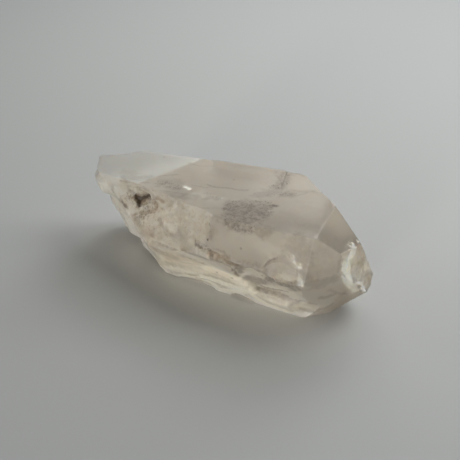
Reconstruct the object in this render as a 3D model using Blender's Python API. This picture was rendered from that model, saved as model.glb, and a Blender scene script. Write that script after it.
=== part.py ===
"""A single quartz crystal, lying on its broad lower prism face.

The crystal grew along +X. Six prism faces run along it and lean in a little towards the
root, and six pyramid faces close the tip. Each natural face is one plane that trims a
block. The root at -X, the chipped tip and the flank above the resting face are broken:
each break is cut with a rough sheet or with a shallow bowl, as quartz breaks in shells.
"""

import math

import bmesh
import bpy
from mathutils import Matrix, Vector, noise

MM = 0.001
NODE = "quartz_crystal"

# Driving dimensions, in millimetres and degrees. Places are measured from the point on the
# surface under the middle of the growth axis, until the finished body is centred.
AXIS_HEIGHT = 13.5
BLOCK = 120.0

# A natural face is (roll, lean, distance). Roll 90 faces up, 0 faces the front (-Y), -90
# faces down and 180 faces the back. Lean tips the face towards the point of the crystal,
# or towards the root where it is negative. Distance is measured from the axis.
PRISM_FACES = {
    "top": (87.0, -3.1, 11.1),
    "upper_front": (28.0, -3.0, 14.7),
    "lower_front": (-25.0, -3.0, 12.6),
    "lower_back": (208.0, -3.0, 16.5),
    "upper_back": (148.0, -3.2, 17.1),
    "rest": (-90.0, 0.0, AXIS_HEIGHT),
}
PYRAMID_FACES = {
    "top": (88.0, 39.0, 25.0),
    "upper_front": (27.5, 37.4, 27.4),
    "lower_front": (-30.0, 38.5, 24.8),
    "under": (-92.0, 38.5, 27.0),
    "lower_back": (208.0, 38.5, 25.0),
    "upper_back": (148.0, 38.6, 21.8),
}

# A flat that is neither: (point, outward direction).
FLATS = {
    "lifted_heel": ((-10.0, 0.0, 0.0), (-0.13, -0.03, -0.99)),
    "root_bevel": ((-15.5, 12.5, 24.4), (-0.085, -0.032, 0.994)),
}

# A break is (point, outward direction, bowl spacing, bowl depth, grain, reach), in
# millimetres. The sheet stops at its point, in a ragged wall, where its reach is one-sided.
WHOLE = (-40.0, 40.0)
BREAKS = {
    "root_front": ((-0.8, -12.2, 20.5), (-0.24, -0.87, 0.43), 6.0, 0.9, 0.5, (-60.0, 0.0)),
    "root_end": ((-37.8, -1.6, 21.0), (-0.83, -0.55, -0.06), 6.5, 1.1, 0.6, WHOLE),
    "root_back": ((-36.2, 10.0, 22.3), (-0.47, 0.87, 0.10), 7.0, 0.8, 0.4, WHOLE),
    "root_under": ((-18.6, -11.7, 12.6), (-0.56, -0.75, -0.36), 7.0, 1.2, 0.5, WHOLE),
    "tip": ((31.4, -6.0, 19.0), (0.97, -0.15, 0.20), 6.0, 0.8, 0.4, WHOLE),
}

# A bowl is (point on the surface, direction out of it, reach along the crystal, reach
# across, depth, roughness), in millimetres.
BOWLS = {
    "flank_left": ((9.5, -13.2, 11.0), (0.12, -0.88, -0.47), 6.0, 5.5, 1.5, 0.5),
    "flank_middle": ((16.0, -12.0, 8.5), (-0.05, -0.88, -0.47), 8.0, 4.6, 1.4, 0.4),
    "flank_shell": ((18.6, -16.2, 16.8), (0.0, -0.97, 0.05), 5.4, 4.8, 1.5, 0.25),
    "flank_toe": ((22.5, -9.5, 4.8), (0.25, -0.80, -0.52), 4.0, 2.6, 0.7, 0.3),
    "ledge_notch": ((0.5, -14.6, 15.6), (0.0, -0.95, -0.1), 3.4, 2.0, 0.9, 0.4),
    "heel_bite": ((-9.0, -7.1, 0.3), (0.1, -0.65, -0.75), 5.5, 3.2, 1.0, 0.3),
    "rim_bite": ((5.6, -7.8, 0.0), (0.0, -0.65, -0.75), 3.4, 3.0, 1.3, 0.3),
    "back_shell": ((-8.0, 17.5, 9.0), (0.0, 0.98, -0.1), 9.0, 6.0, 2.0, 0.4),
    "back_nick": ((17.0, 13.4, 24.5), (0.1, 0.75, 0.65), 3.5, 2.0, 0.8, 0.3),
    "under_shell": ((-14.0, 6.0, 1.0), (-0.1, 0.1, -0.99), 7.0, 5.0, 1.3, 0.4),
}

# A growth step is (corner, direction out of the face, turn in degrees, length, width,
# depth), in millimetres. It lowers the face beyond its corner by a thin layer.
GROWTH_STEPS = {
    "top_terrace": ((9.8, 4.6, 25.4), (-0.02, -0.01, 1.0), 11.0, 20.0, 20.0, 0.2),
    "back_terrace": ((-12.0, 15.3, 20.0), (-0.056, 0.847, 0.529), 183.0, 40.0, 20.0, 0.35),
    "lower_back_terrace": ((6.0, 17.2, 10.0), (-0.052, 0.882, -0.469), 4.0, 40.0, 20.0, 0.3),
}

# A pit is (mouth, direction out of it, half length, half width, depth), in millimetres.
PITS = {
    "cavity": ((-22.6, -6.4, 21.0), (-0.24, -0.70, 0.68), 2.6, 1.8, 2.4),
    "small_pit": ((-26.6, -7.2, 17.6), (-0.35, -0.75, 0.55), 1.3, 1.0, 1.2),
}


SHEET_STEP = 1.25
SHEET_THICKNESS = 40.0
WALL_RAGGED = 1.6
STEP_SLAB = 6.0


def face_direction(roll, lean):
    """Outward direction of a face of the crystal."""
    around, along = math.radians(roll), math.radians(lean)
    return Vector((
        math.sin(along),
        -math.cos(around) * math.cos(along),
        math.sin(around) * math.cos(along),
    ))


def trim(bm, point, outward):
    """Cut away what lies outside one plane and close the block again."""
    everything = bm.verts[:] + bm.edges[:] + bm.faces[:]
    cut = bmesh.ops.bisect_plane(
        bm, geom=everything, dist=1e-5, plane_co=point, plane_no=outward, clear_outer=True
    )
    rim = [item for item in cut["geom_cut"] if isinstance(item, bmesh.types.BMEdge)]
    if rim:
        bmesh.ops.contextual_create(bm, geom=rim)


def grow_crystal():
    """The unbroken crystal, in millimetres."""
    bm = bmesh.new()
    bmesh.ops.create_cube(bm, size=BLOCK)
    axis = Vector((0.0, 0.0, AXIS_HEIGHT))
    for roll, lean, distance in (*PRISM_FACES.values(), *PYRAMID_FACES.values()):
        outward = face_direction(roll, lean)
        trim(bm, axis + outward * distance, outward)
    for point, outward in FLATS.values():
        trim(bm, Vector(point), Vector(outward).normalized())
    bmesh.ops.recalc_face_normals(bm, faces=bm.faces)
    return bm


def to_object(bm, name):
    """Turn millimetres into a named object in metres."""
    bmesh.ops.scale(bm, vec=(MM, MM, MM), verts=bm.verts)
    mesh = bpy.data.meshes.new(name)
    bm.to_mesh(mesh)
    bm.free()
    body = bpy.data.objects.new(name, mesh)
    bpy.context.scene.collection.objects.link(body)
    return body


def carve(body, cutter):
    """Subtract the cutter from the body for good, and remove the cutter."""
    modifier = body.modifiers.new("carve", "BOOLEAN")
    modifier.operation = "DIFFERENCE"
    modifier.solver = "EXACT"
    modifier.object = cutter
    graph = bpy.context.evaluated_depsgraph_get()
    carved = bpy.data.meshes.new_from_object(body.evaluated_get(graph))
    body.modifiers.clear()
    body.data = carved
    bpy.data.objects.remove(cutter)


def bowl_height(u, v, spacing, depth, seed):
    """Height of a break made of shallow bowls that meet in sharp ridges."""
    lowest = depth
    column, row = math.floor(u / spacing), math.floor(v / spacing)
    for i in range(column - 1, column + 3):
        for j in range(row - 1, row + 3):
            jitter = noise.cell_vector(Vector((i + 0.5, j + 0.5, seed + 0.5)))
            centre_u = (i + 0.8 * jitter.x) * spacing
            centre_v = (j + 0.8 * jitter.y) * spacing
            away = (u - centre_u) ** 2 + (v - centre_v) ** 2
            lowest = min(lowest, depth * (away / spacing ** 2 - jitter.z))
    return lowest


def surface_frame(outward):
    """Directions along the crystal, across it and out of the surface."""
    out = Vector(outward).normalized()
    across = out.cross(Vector((1.0, 0.0, 0.0))).normalized()
    return across.cross(out), across, out


def break_sheet(name, point, outward, spacing, depth, grain, reach, seed):
    """A thick sheet whose underside is the broken surface that it leaves."""
    along, across, out = surface_frame(outward)
    columns = round((reach[1] - reach[0]) / SHEET_STEP)
    rows = round((WHOLE[1] - WHOLE[0]) / SHEET_STEP)
    bm = bmesh.new()
    grid = []
    for j in range(rows + 1):
        v = WHOLE[0] + j * SHEET_STEP
        ragged = WALL_RAGGED * noise.fractal(Vector((v * 0.5, seed, 0.0)), 1.0, 2.0, 3)
        row = []
        for i in range(columns + 1):
            u = reach[0] + i * SHEET_STEP + ragged
            height = bowl_height(u, v, spacing, depth, seed)
            height += grain * noise.fractal(Vector((u, v, seed)) * 0.45, 1.0, 2.0, 3)
            row.append(bm.verts.new(Vector(point) + along * u + across * v + out * height))
        grid.append(row)
    for lower, upper in zip(grid, grid[1:]):
        for a, b, c, d in zip(lower, lower[1:], upper[1:], upper):
            bm.faces.new((a, b, c, d))
    thick = bmesh.ops.extrude_face_region(bm, geom=bm.faces[:])
    lifted = [item for item in thick["geom"] if isinstance(item, bmesh.types.BMVert)]
    bmesh.ops.translate(bm, vec=out * SHEET_THICKNESS, verts=lifted)
    bmesh.ops.recalc_face_normals(bm, faces=bm.faces)
    return to_object(bm, name)


def roughen(bm, amount, scale, seed):
    """Push the points of a cutter in and out by a fixed noise."""
    for vert in bm.verts:
        wave = noise.fractal(vert.co * scale + Vector((seed, seed, seed)), 1.0, 2.0, 3)
        vert.co += vert.normal * wave * amount


def bowl(name, point, outward, reach_along, reach_across, depth, roughness, seed):
    """A lens that sinks into the surface and leaves a shell-shaped hollow."""
    along, across, out = surface_frame(outward)
    rise = (reach_along ** 2 + depth ** 2) / (2.0 * depth)
    bm = bmesh.new()
    bmesh.ops.create_icosphere(bm, subdivisions=5, radius=rise)
    bmesh.ops.scale(bm, vec=(1.0, reach_across / reach_along, 1.0), verts=bm.verts)
    deep = [face for face in bm.faces if face.calc_center_median().z > -rise * 0.6]
    bmesh.ops.delete(bm, geom=deep, context="FACES")
    rim = [edge for edge in bm.edges if edge.is_boundary]
    bmesh.ops.contextual_create(bm, geom=rim)
    bmesh.ops.recalc_face_normals(bm, faces=bm.faces)
    roughen(bm, roughness, 0.35, seed)
    centre = Vector(point) + out * (rise - depth)
    turn = Matrix((along, across, out)).transposed().to_4x4()
    bmesh.ops.transform(bm, matrix=Matrix.Translation(centre) @ turn, verts=bm.verts)
    return to_object(bm, name)


def growth_step(name, corner, outward, turn, length, width, depth):
    """A slab that takes one thin layer off a face."""
    along, across, out = surface_frame(outward)
    bm = bmesh.new()
    bmesh.ops.create_cube(bm, size=1.0)
    bmesh.ops.translate(bm, vec=(0.5, 0.5, 0.5), verts=bm.verts)
    bmesh.ops.scale(bm, vec=(length, width, STEP_SLAB), verts=bm.verts)
    bmesh.ops.rotate(bm, matrix=Matrix.Rotation(math.radians(turn), 3, "Z"), verts=bm.verts)
    start = Vector(corner) - out * depth
    frame = Matrix((along, across, out)).transposed().to_4x4()
    bmesh.ops.transform(bm, matrix=Matrix.Translation(start) @ frame, verts=bm.verts)
    return to_object(bm, name)


def pit(name, mouth, outward, half_length, half_width, depth, seed):
    """A ragged plug that leaves a small deep hole."""
    along, across, out = surface_frame(outward)
    bm = bmesh.new()
    bmesh.ops.create_icosphere(bm, subdivisions=2, radius=1.0)
    roughen(bm, 0.25, 1.6, seed)
    bmesh.ops.scale(bm, vec=(half_length, half_width, depth), verts=bm.verts)
    turn = Matrix((along, across, out)).transposed().to_4x4()
    bmesh.ops.transform(bm, matrix=Matrix.Translation(Vector(mouth)) @ turn, verts=bm.verts)
    return to_object(bm, name)


def finish(body):
    """Centre the body over the origin and give it its material."""
    corners = [Vector(corner) for corner in body.bound_box]
    low = Vector(min(c[k] for c in corners) for k in range(3))
    high = Vector(max(c[k] for c in corners) for k in range(3))
    shift = Vector((-(low.x + high.x) / 2, -(low.y + high.y) / 2, -low.z))
    body.data.transform(Matrix.Translation(shift))
    material = bpy.data.materials.new("milky_quartz")
    material.use_nodes = True
    surface = material.node_tree.nodes["Principled BSDF"]
    surface.inputs["Base Color"].default_value = (0.48, 0.44, 0.37, 1.0)
    surface.inputs["Roughness"].default_value = 0.25
    surface.inputs["Metallic"].default_value = 0.0
    body.data.materials.clear()
    body.data.materials.append(material)


def main():
    for leftover in list(bpy.data.objects):
        bpy.data.objects.remove(leftover)
    body = to_object(grow_crystal(), NODE)
    for name, shape in GROWTH_STEPS.items():
        carve(body, growth_step(name, *shape))
    for seed, (name, shape) in enumerate(BREAKS.items()):
        carve(body, break_sheet(name, *shape, seed=seed))
    for seed, (name, shape) in enumerate(BOWLS.items(), start=len(BREAKS)):
        carve(body, bowl(name, *shape, seed=seed))
    for seed, (name, shape) in enumerate(PITS.items(), start=len(BREAKS) + len(BOWLS)):
        carve(body, pit(name, *shape, seed=seed))
    finish(body)


main()
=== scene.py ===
"""A milky quartz crystal, dressed for display: its fine surface, its cloudy glass, its light."""

import math

import bmesh
import bpy
import numpy as np
from mathutils import Matrix, Vector, noise
from mathutils.bvhtree import BVHTree


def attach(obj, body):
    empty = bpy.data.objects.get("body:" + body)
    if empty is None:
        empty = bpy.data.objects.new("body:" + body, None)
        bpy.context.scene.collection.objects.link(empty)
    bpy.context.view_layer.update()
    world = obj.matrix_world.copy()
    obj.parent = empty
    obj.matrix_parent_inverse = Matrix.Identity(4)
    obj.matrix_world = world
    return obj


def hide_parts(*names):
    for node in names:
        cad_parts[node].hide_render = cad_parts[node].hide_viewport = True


MM = 0.001
NODE = "quartz_crystal"

# The carved body stands this far from where its faces and breaks are measured, and the
# crystal's axis this high, in millimetres.
MOVED = np.array((4.084, -1.936, 0.0))
AXIS_HEIGHT = 13.5

# How the crystal is looked at. The view is VIEW_PIXELS wide, with AIM at AIM_PIXEL.
AZIMUTH, ELEVATION = math.radians(24.62), math.radians(33.51)
FIELD = math.radians(30.0)
SENSOR = 36.0
DISTANCE = 0.211
VIEW_PIXELS = 460.0
AIM = Vector((4.084, -1.936, 13.0)) * MM
AIM_PIXEL = (235.0, 233.0)

# How many pixels a mark may lie outside the body's outline, and in how many directions the
# body is looked for there.
OUTLINE_REACH = 4
OUTLINE_TURNS = 16

# A place well clear of the body, in millimetres.
OUTSIDE = 80.0

# The growth faces, as (roll, lean, distance) in degrees and millimetres.
GROWTH_FACES = {
    "top": (87.0, -3.1, 11.1),
    "upper_front": (28.0, -3.0, 14.7),
    "lower_front": (-25.0, -3.0, 12.6),
    "lower_back": (208.0, -3.0, 16.5),
    "upper_back": (148.0, -3.2, 17.1),
    "rest": (-90.0, 0.0, AXIS_HEIGHT),
    "tip_top": (88.0, 39.0, 25.0),
    "tip_upper_front": (27.5, 37.4, 27.4),
    "tip_lower_front": (-30.0, 38.5, 24.8),
    "tip_under": (-92.0, 38.5, 27.0),
    "tip_lower_back": (208.0, 38.5, 25.0),
    "tip_upper_back": (148.0, 38.6, 21.8),
}

# Flats that no growth face made, and the floors of the growth steps, as (point, direction).
FLATS = {
    "lifted_heel": ((-10.0, 0.0, 0.0), (-0.13, -0.03, -0.99)),
    "root_bevel": ((-15.5, 12.5, 24.4), (-0.085, -0.032, 0.994)),
    "top_terrace": ((9.8, 4.6, 25.2), (-0.02, -0.01, 1.0)),
    "back_terrace": ((-11.98, 15.0, 19.81), (-0.056, 0.847, 0.529)),
    "lower_back_terrace": ((6.02, 16.94, 10.14), (-0.052, 0.882, -0.469)),
}

# Marks by kind, as (half width, strength, path), in pixels of the view from the camera. Calm
# skins are smoother breaks, veils are milky and a few are painted light, glow is painted glow
# where light comes through thin rims and lobes and real milkiness painted brighter at the tip and
# the wisps, smoke is dark glass and dots and also painted shade, rust is brown, specks are dark
# grains, glints and flakes are painted highlights and sparkles, and dense places hide what is
# behind.
SEEN_MARKS = {
    "calm": {
        "lobe_skin": (12, 0.95, [(154, 252), (176, 260), (200, 268)]),
        "lobe_skin_low": (9, 0.95, [(210, 274), (232, 282), (250, 290)]),
        "slope_left": (7, 0.5, [(120, 184), (110, 176)]),
        "wedge_skin": (12, 0.9, [(250, 276), (272, 284), (294, 292)]),
        "shell_skin": (10, 0.8, [(268, 268), (288, 270)]),
        "toe_skin": (7, 0.8, [(280, 301), (300, 308)]),
    },
    "veil_and_sheen": {
        "root_knob": (8, 0.8, [(102, 172), (108, 180), (116, 176)]),
        "knob_foot": (5, 0.5, [(106, 188), (114, 186)]),
        "bevel_foot": (2.2, 0.35, [(124, 181), (133, 187), (141, 187)]),
        "bevel_line": (2.4, 0.15, [(152, 173), (166, 172), (179, 172)]),
        "crest": (4.5, 0.6, [(193, 195), (201, 192), (206, 197)]),
        "crest_corner": (1.4, 0.8, [(219, 198), (223, 198.5)]),
        "crest_band": (3, 0.55, [(190, 200), (176, 206), (162, 212), (150, 216)]),
        "swirl": (2.6, 0.9, [(164, 223), (169, 228), (174, 232)]),
        "swirl_foot": (1.6, 0.6, [(172, 225), (178, 224)]),
        "root_lump_a": (2.6, 0.55, [(118, 197), (121, 195)]),
        "root_lump_b": (2.4, 0.5, [(127, 213), (131, 211)]),
        "root_lump_c": (2.2, 0.4, [(166, 213), (171, 211)]),
        "lobe_streak": (1.3, 0.8, [(152, 240), (160, 243), (168, 245.5)]),
        "lobe_ridge": (2.4, 0.5, [(196, 251), (204, 256), (210, 258)]),
        "haze": (8, 0.35, [(266, 246), (272, 254)]),
        "wisp_fan": (3, 0.7, [(291, 257), (297, 263), (299, 268)]),
        "wisp_toe": (1.8, 0.6, [(298, 296), (302, 300), (307, 304)]),
        "shell_low": (4, 0.35, [(290, 276), (282, 278)]),
        "shoulder": (8, 0.22, [(300, 184), (308, 186)]),
        "tip_edge": (1.5, 0.15, [(320, 242), (329, 247.5), (337, 253)]),
        "back_crest": (1.2, 0.3, [(206, 158), (240, 164), (280, 170.5), (300, 176)]),
        # Painted light: lightens the left of the top.
        "top_left": (14, 0.35, [(196, 208), (212, 204)]),
        "root_pale": (5, 0.6, [(146, 226), (156, 222), (166, 218)]),
        "wisp_haze": (5, 0.6, [(294, 262), (299, 272), (301, 284)]),
        "wedge_streak_c": (1, 0.8, [(266, 287), (280, 290), (296, 294)]),
        "knob_bloom": (7, 0.8, [(104, 176), (112, 186), (118, 192)]),
        "lobe_sheen": (5, 0.5, [(214, 274), (230, 281), (244, 288)]),
        "border_light": (6, 0.35, [(286, 231), (300, 233), (314, 236)]),
    },
    # Painted glow where light comes through the thin rims and lobes; on the tip's cloud and the
    # wisps it is real milkiness painted brighter.
    "painted_glow": {
        "lobe_foot": (6, 0.7, [(168, 268), (186, 271), (206, 271)]),
        "wisp_upper": (1, 0.8, [(289, 253), (291, 256), (293.5, 259)]),
        "wisp_lower": (1.4, 1, [(297.5, 279), (300, 281), (302, 284), (304, 287)]),
        "tip_cloud": (5, 1, [(344, 267), (347, 273), (351, 279)]),
        "tip_cloud_low": (4, 0.6, [(345, 279), (350, 286), (356, 291)]),
        "tip_cloud_top": (3, 0.4, [(353, 245), (355, 252), (351, 258), (346, 262)]),
        "tip_far_rim": (2, 0.4, [(364, 284), (366, 272), (368, 262)]),
        "toe": (4, 0.3, [(300, 307), (316, 307), (326, 304)]),
        "lobe_lip": (8, 1, [(206, 268), (219, 272), (230, 277), (242, 285)]),
        "lobe_belly": (11, 0.55, [(164, 256), (184, 262), (204, 268), (224, 276)]),
        "low_lip": (6, 1, [(204, 277), (222, 283), (238, 288), (252, 291)]),
        "lower_rim_left": (2.2, 1, [
            (144, 245), (150, 256), (158, 266), (170, 274), (185, 275.5), (200, 278),
        ]),
        "lower_rim_middle": (4, 1, [(200, 278), (212, 283), (222, 290), (234, 291), (248, 292)]),
        "lower_rim_right": (2.6, 1, [
            (250, 292), (258, 298.5), (268, 304.5), (280, 309), (292, 313.5), (310, 314),
        ]),
        "toe_glow": (4, 0.4, [(270, 299), (290, 307), (310, 310)]),
        "lobe_root": (8, 0.6, [(150, 245), (162, 252), (180, 257)]),
        "wisp_branch": (1.3, 1, [(295, 262), (297, 264), (299, 266.5)]),
        "wisp_branch_low": (0.8, 0.8, [(297, 269), (296, 274)]),
        "tip_fleck_a": (1.2, 1, [(344, 262), (347, 264)]),
        "tip_fleck_b": (1.6, 1, [(350, 263), (351, 267)]),
        "tip_fleck_c": (1.3, 1, [(342, 276), (345, 279)]),
        "tip_fleck_d": (2, 1, [(361, 283), (364, 288)]),
        "rim_root": (1.6, 0.9, [(140, 238), (144, 246), (148, 253)]),
        "lobe_top": (5, 0.5, [(160, 244), (182, 253), (205, 262), (222, 269)]),
        "tip_fleck_e": (1, 1, [(352, 249), (354, 253)]),
        "tip_fleck_f": (1.1, 0.9, [(343, 268), (342, 272)]),
        "tip_fleck_g": (1.4, 0.9, [(348, 282), (353, 285)]),
        "tip_cloud_mid": (3, 0.7, [(350, 262), (350, 268)]),
        "lobe_rim_shine": (2, 1, [(222, 289), (232, 291.5), (248, 292.5), (256, 298), (262, 303)]),
    },
    # Smoke: dark glass and dark dots, and painted shade: the marks named shade or shadow, the
    # scarp, the creases, the wall, the hollows, under the shell and the tip, the middle of the top
    # and the line under the lobe.
    "smoke_and_shade": {
        "shell_face": (10, 0.35, [(270, 268), (280, 264), (290, 270)]),
        "cloud_a": (6, 0.5, [(229, 204), (244, 202.5), (266, 204)]),
        "cloud_b": (8, 0.82, [(230, 208), (246, 208), (264, 207.5)]),
        "cloud_c": (9, 0.84, [(231, 214), (246, 214), (262, 213)]),
        "cloud_d": (7, 0.82, [(230, 220), (242, 221), (252, 220)]),
        "cloud_e": (5, 0.7, [(232, 226), (240, 228), (250, 228)]),
        "cloud_f": (6, 0.4, [(256, 218), (264, 217)]),
        "cloud_tail": (2.6, 0.9, [(268, 206), (273, 205.5), (277, 206)]),
        "cloud_shadow": (6, 0.6, [(258, 230), (263, 233), (268, 231)]),
        "second_cloud": (7, 0.65, [(286, 174), (283, 180), (279, 186)]),
        "second_cloud_mid": (6, 0.5, [(277, 190), (268, 193), (258, 195)]),
        "second_cloud_end": (4.5, 0.6, [(282, 195), (287, 193.5), (292, 195)]),
        "shoulder_line": (1.6, 0.35, [(293, 196), (304, 194), (314, 191)]),
        "left_cloud": (6, 0.42, [(162, 182), (170, 182), (178, 183)]),
        "left_cloud_low": (3, 0.45, [(166, 187), (172, 189), (180, 188)]),
        "root_cloud": (5, 0.25, [(124, 172), (134, 174)]),
        "root_cloud_low": (4, 0.3, [(124, 177), (136, 178), (150, 177)]),
        "root_shade": (2.4, 0.55, [(112, 188), (113, 195), (118, 200)]),
        "root_crease": (2, 0.6, [(128, 190), (133, 193)]),
        "root_crease_low": (1.6, 0.4, [(136, 213), (132, 217), (140, 218)]),
        "crest_shade": (3, 0.4, [(205, 199), (211, 197), (217, 199)]),
        "scarp": (1.8, 0.75, [
            (194, 243), (198, 247), (204, 250), (209, 250), (211, 255), (211, 260), (216, 262),
            (222, 263), (229, 267), (234, 272), (238, 277),
        ]),
        "scarp_top": (1.5, 0.5, [
            (210, 249), (218, 250), (224, 252), (227, 258), (231, 261), (240, 262),
        ]),
        "scarp_hollow": (2.6, 0.5, [(195, 241), (198, 244), (204, 247)]),
        "scarp_foot": (4.2, 0.8, [(231, 264), (237, 266), (240, 272)]),
        "wall": (2.2, 0.55, [(209, 224), (210, 231), (211, 237)]),
        "wall_fade": (4, 0.3, [(212, 228), (212, 235)]),
        "under_shell": (5, 0.6, [(243, 266), (254, 268), (264, 272)]),
        "wedge": (6, 0.85, [(270, 280), (282, 284), (296, 288)]),
        "wedge_back": (5, 0.7, [(248, 278), (264, 282)]),
        "wedge_foot": (3.2, 0.8, [(258, 289), (272, 294), (286, 297)]),
        "wedge_side": (3, 0.45, [(290, 290), (296, 286)]),
        "toe_line": (1.6, 0.5, [(282, 299), (296, 301), (308, 304), (316, 305)]),
        "shell_rim": (1.5, 0.75, [(263, 268), (266, 264), (270, 260), (277, 258)]),
        "shell_streak": (1.5, 0.4, [(274, 272), (281, 273)]),
        "shell_side": (1.4, 0.5, [(297, 269), (297, 276)]),
        "tip_crack": (0.9, 0.3, [(340, 272), (342, 265), (344, 259)]),
        "tip_crack_back": (1.6, 0.4, [(338, 272), (339, 262), (342, 258)]),
        "under_tip": (3.4, 0.55, [(320, 298), (328, 297), (334, 294)]),
        "tip_flank": (9, 0.5, [(306, 281), (318, 284), (332, 279)]),
        "flank_line": (2, 0.4, [(330, 290), (337, 293), (346, 294)]),
        "toe_corner": (2.4, 0.5, [(318, 310), (327, 307), (333, 303)]),
        "growth_line_a": (1, 0.5, [(207, 184), (214, 187), (228, 188), (240, 190), (248, 190)]),
        "growth_line_b": (0.8, 0.4, [(192, 185), (207, 187.5)]),
        "growth_line_c": (0.8, 0.4, [(158, 176), (178, 174.5)]),
        "growth_line_d": (0.8, 0.35, [(124, 180), (141, 180.5)]),
        "growth_line_e": (0.7, 0.3, [(188, 163), (200, 166), (214, 166)]),
        "growth_line_f": (0.8, 0.3, [(203, 208), (224, 208)]),
        "growth_line_g": (0.8, 0.4, [(206, 217), (224, 217)]),
        "lobe_line": (1.4, 0.5, [
            (152, 241), (160, 244), (172, 249), (186, 252), (200, 257), (208, 260),
        ]),
        "lobe_line_low": (1.2, 0.2, [(163, 257), (180, 262), (200, 265)]),
        "root_dots": (1.2, 0.5, [(139, 189), (150, 199)]),
        # The cavity and the pit get painted shade in their hollows.
        "cavity_dark": (3.2, 1, [(136, 197), (141, 198.5), (148, 196.5)]),
        "cavity_root": (3, 1, [(140, 200), (138, 206)]),
        "pit_dark": (2.6, 0.9, [(121, 203), (124, 206)]),
        "dot_a": (1.2, 1, [(273.5, 185)]),
        "dot_b": (1.4, 1, [(278, 188)]),
        "dot_c": (1.2, 1, [(282, 185)]),
        "dot_d": (1.6, 0.9, [(290.5, 195)]),
        "dot_e": (1.2, 1, [(273, 206), (276.5, 206)]),
        "dot_f": (1.1, 0.8, [(241, 248.5)]),
        "dot_g": (1.1, 0.8, [(217, 272.5)]),
        "dot_h": (1.2, 0.8, [(232, 278)]),
        "dot_i": (1.1, 1, [(207.5, 240)]),
        "dot_j": (1.3, 0.5, [(164, 157)]),
        "dot_k": (1.1, 0.8, [(153, 229)]),
        "dot_l": (1.1, 1, [(126, 207)]),
        "dot_m": (1.3, 0.8, [(231, 204)]),
        "dot_n": (1.4, 0.6, [(234, 180)]),
        "dot_o": (1.4, 0.8, [(229, 213), (233, 215)]),
        "dot_p": (1.4, 0.7, [(232, 222), (240, 223)]),
        "dot_q": (1.2, 0.8, [(244, 230)]),
        # Painted shade: darkens the middle of the top.
        "top_middle": (16, 0.16, [(290, 206), (306, 216)]),
        "root_crease_high": (1.6, 0.4, [(143, 188), (150, 193), (155, 199)]),
        "lump_shade": (2, 0.35, [(166, 206), (176, 200), (186, 194)]),
        "swirl_shade": (2, 0.35, [(158, 219), (166, 234), (176, 236)]),
        "root_grey": (6, 0.35, [(180, 232), (188, 236)]),
        "pit_side": (1.6, 0.6, [(118, 201), (127, 208)]),
        "toe_fold": (1.6, 0.4, [(300, 309), (312, 312), (322, 309)]),
        "toe_streak": (1.6, 0.3, [(268, 297), (280, 302), (292, 305)]),
        "face_shade": (14, 0.3, [(322, 256), (326, 268)]),
        "root_pit_a": (1.2, 0.6, [(141, 190)]),
        "root_pit_b": (1.2, 0.55, [(147, 206)]),
        "root_pit_c": (1.3, 0.5, [(133, 203)]),
        "root_pit_d": (1.1, 0.6, [(168, 206)]),
        "root_pit_e": (1.2, 0.5, [(186, 210)]),
        "wedge_streak_a": (1.1, 0.7, [(262, 276), (276, 280), (292, 283)]),
        "wedge_streak_b": (1, 0.7, [(256, 284), (270, 289), (288, 292)]),
        "shell_ring_a": (1, 0.35, [(267, 275), (270, 268), (278, 263.5), (286, 265)]),
        "shell_ring_b": (0.9, 0.3, [(273, 276), (277, 270), (285, 269)]),
        "root_hollow": (7, 0.22, [(160, 196), (172, 198), (182, 200)]),
        "bevel_streak_a": (0.9, 0.5, [(120, 181), (132, 183), (150, 183)]),
        "bevel_streak_b": (0.8, 0.4, [(126, 186), (142, 188), (160, 187)]),
        "bevel_streak_c": (0.8, 0.4, [(152, 190), (172, 192), (196, 196)]),
        "right_shade": (13, 0.48, [(296, 246), (305, 260)]),
        "middle_shade": (14, 0.08, [(250, 238), (276, 246)]),
        "far_shade": (8, 0.14, [(214, 172), (250, 176), (280, 180)]),
        "root_pit_f": (1, 0.6, [(160, 219)]),
        "root_pit_g": (1, 0.6, [(174, 226)]),
        "root_pit_h": (1.1, 0.6, [(134, 224)]),
        "far_right_shade": (9, 0.18, [(300, 272), (306, 284)]),
        "lobe_shade": (5, 0.34, [(152, 246), (162, 253), (176, 258)]),
        "lobe_under_line": (0.9, 0.5, [(196, 277.5), (208, 280), (220, 284.5)]),
    },
    "rust": {
        "scarp_rust": (5, 0.85, [(213, 255), (220, 256.5), (226, 260)]),
        "scarp_rust_low": (3.4, 0.8, [(229, 264), (235, 266), (240, 267)]),
        "cavity_arc": (2.2, 0.8, [(152, 201), (156, 204), (156, 209), (149, 212)]),
        "cavity_beads": (2, 0.8, [(149, 212), (144, 213), (140, 213)]),
        "cavity_arc_low": (1.8, 0.7, [(139, 216), (144, 218)]),
        "root_warm": (6, 0.4, [(133, 222), (141, 228), (148, 234)]),
        "root_patch": (6, 0.22, [(150, 206), (156, 215), (148, 220)]),
        "root_patch_low": (3, 0.3, [(152, 228), (158, 226), (159, 232)]),
        "lobe_corner": (2.4, 0.6, [(146, 242), (151, 246), (156, 250)]),
        "lobe_warm": (6, 0.28, [(160, 252), (176, 257), (184, 258)]),
        "wall_warm": (4, 0.3, [(206, 226), (208, 236), (214, 232)]),
        "tip_rust": (5, 0.35, [(360, 246), (363, 256), (364, 268)]),
        "tip_rust_low": (3, 0.35, [(345, 292), (336, 300)]),
        "cavity_rust": (3.4, 1, [(136, 198), (141, 200), (146, 198)]),
        "cavity_tail": (2.2, 0.9, [(139, 203), (137, 207)]),
        "pit_rust": (2.4, 0.8, [(121, 204), (125, 206)]),
        "root_rose": (5, 0.25, [(146, 216), (156, 210), (160, 222)]),
        "root_crumb": (1.6, 0.7, [(156, 198), (163, 202)]),
        "lobe_stain": (1.6, 0.5, [(150, 243), (152, 249), (156, 251)]),
        "root_ochre": (14, 0.14, [(158, 222), (178, 216), (196, 224)]),
        "lobe_ochre": (10, 0.08, [(170, 258), (196, 264)]),
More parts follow.
